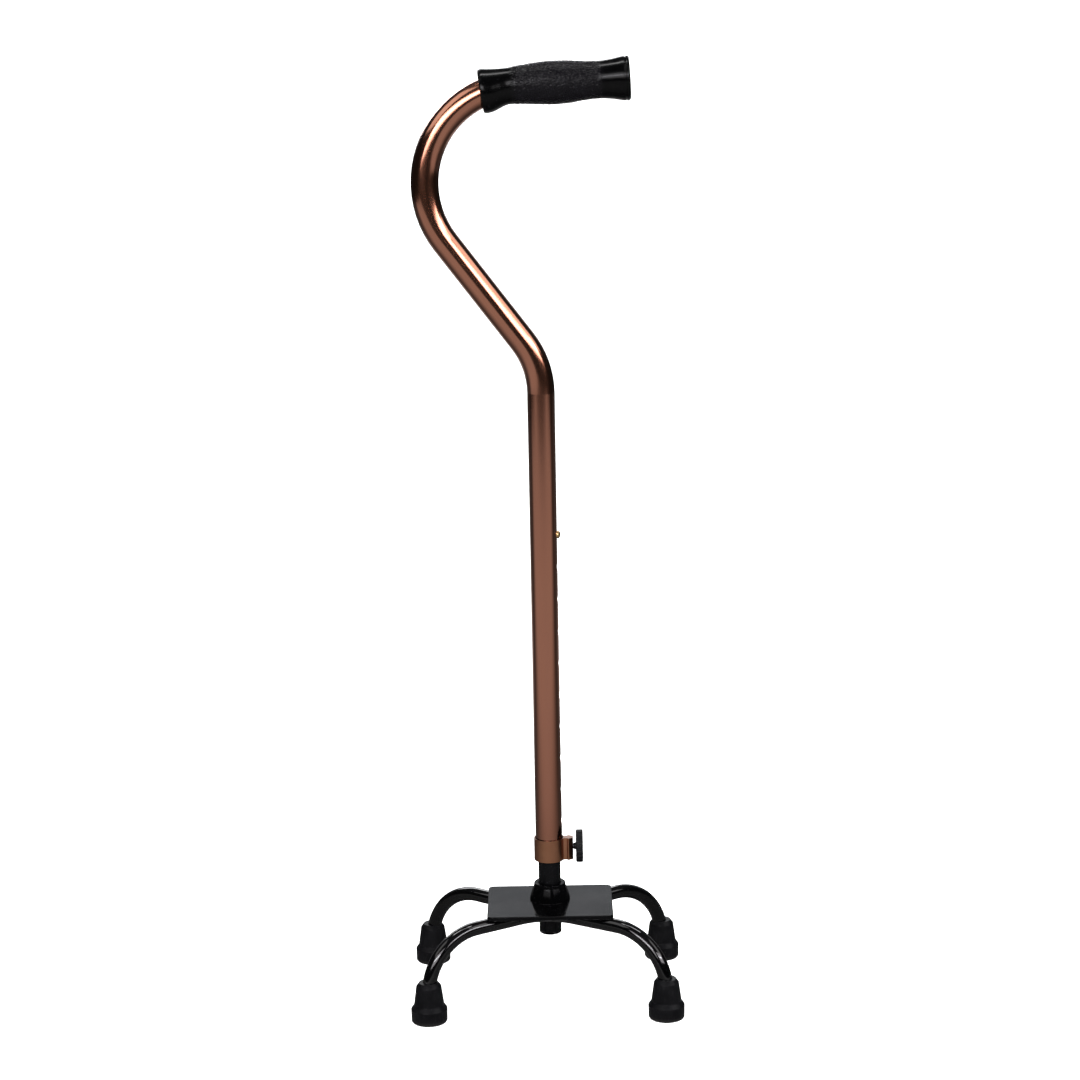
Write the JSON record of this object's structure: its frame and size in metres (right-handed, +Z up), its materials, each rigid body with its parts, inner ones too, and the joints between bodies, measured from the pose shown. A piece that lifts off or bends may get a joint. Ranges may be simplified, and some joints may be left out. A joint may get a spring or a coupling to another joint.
{
  "type": "quad walking cane",
  "caption": "Height-adjustable walking cane: offset bronze handle tube with a moulded grip, snap button and thumb-screw collar, on a low splayed base with rubber-tipped feet.",
  "frame": {"origin": "on the floor, under the axis of the shaft, 3 mm to the +X side of the centre of the four feet", "axes": "+Z up along the shaft, +X the way the hand grip points, -Y the side with the deeper part of the base plate"},
  "size_m": [0.2152, 0.1612, 0.7281],
  "materials": {
    "bronze_tube": "satin bronze anodised",
    "bronze_collar": "satin bronze",
    "grip_vinyl": "pebbled vinyl, glossy smooth ends",
    "stem_black": "semi-gloss black",
    "hub_black": "gloss black",
    "plate_black": "smooth gloss black",
    "leg_black": "high gloss black",
    "tip_rubber": "matte black",
    "knob_plastic": "moulded black",
    "screw_steel": "blackened steel",
    "nut_steel": "zinc plated",
    "button_brass": "satin brass",
    "spring_steel": "bright",
    "bushing_nylon": "moulded black"
  },
  "bodies": {
    "base": {"lower_tube": "stem_black", "stem_end_cap": "hub_black", "snap_spring": "spring_steel", "hub_collar": "hub_black", "base_plate": "plate_black", "front_leg_tube": "leg_black", "rear_leg_tube": "leg_black", "tip_front_left": "tip_rubber", "tip_front_right": "tip_rubber", "tip_rear_left": "tip_rubber", "tip_rear_right": "tip_rubber", "washer_front_left": "nut_steel", "washer_front_right": "nut_steel", "washer_rear_left": "nut_steel", "washer_rear_right": "nut_steel"},
    "handle": {"handle_tube": "bronze_tube", "hand_grip": "grip_vinyl", "lock_collar": "bronze_collar", "collar_nut": "nut_steel", "guide_bushing": "bushing_nylon"},
    "button": {"snap_button": "button_brass"},
    "screw": {"thumb_screw_stud": "screw_steel"},
    "knob": {"thumb_screw_knob": "knob_plastic"}
  },
  "joints": [
    {"name": "height_slide", "type": "slide", "parent": "base", "child": "handle", "axis": [0, 0, 1], "range_m": [0, 0.2286], "deforming": ["snap_button", "snap_spring"]},
    {"name": "button_press", "type": "slide", "parent": "base", "child": "button", "axis": [-1, 0, 0], "range_m": [0, 0.0043], "stiffness_N_per_m": 600, "springref_m": -0.004, "deforming": ["snap_spring"]},
    {"name": "screw_advance", "type": "slide", "parent": "handle", "child": "screw", "axis": [1, 0, 0], "range_m": [0, 0.0014]},
    {"name": "knob_turn", "type": "hinge", "parent": "screw", "child": "knob", "pos_m": [0.0236, 0, 0.1172], "axis": [1, 0, 0], "range_deg": [0, 720]}
  ],
  "couplings": [
    {"joint": "knob_turn", "follows": "screw_advance", "rad_per_m": 8976}
  ]
}
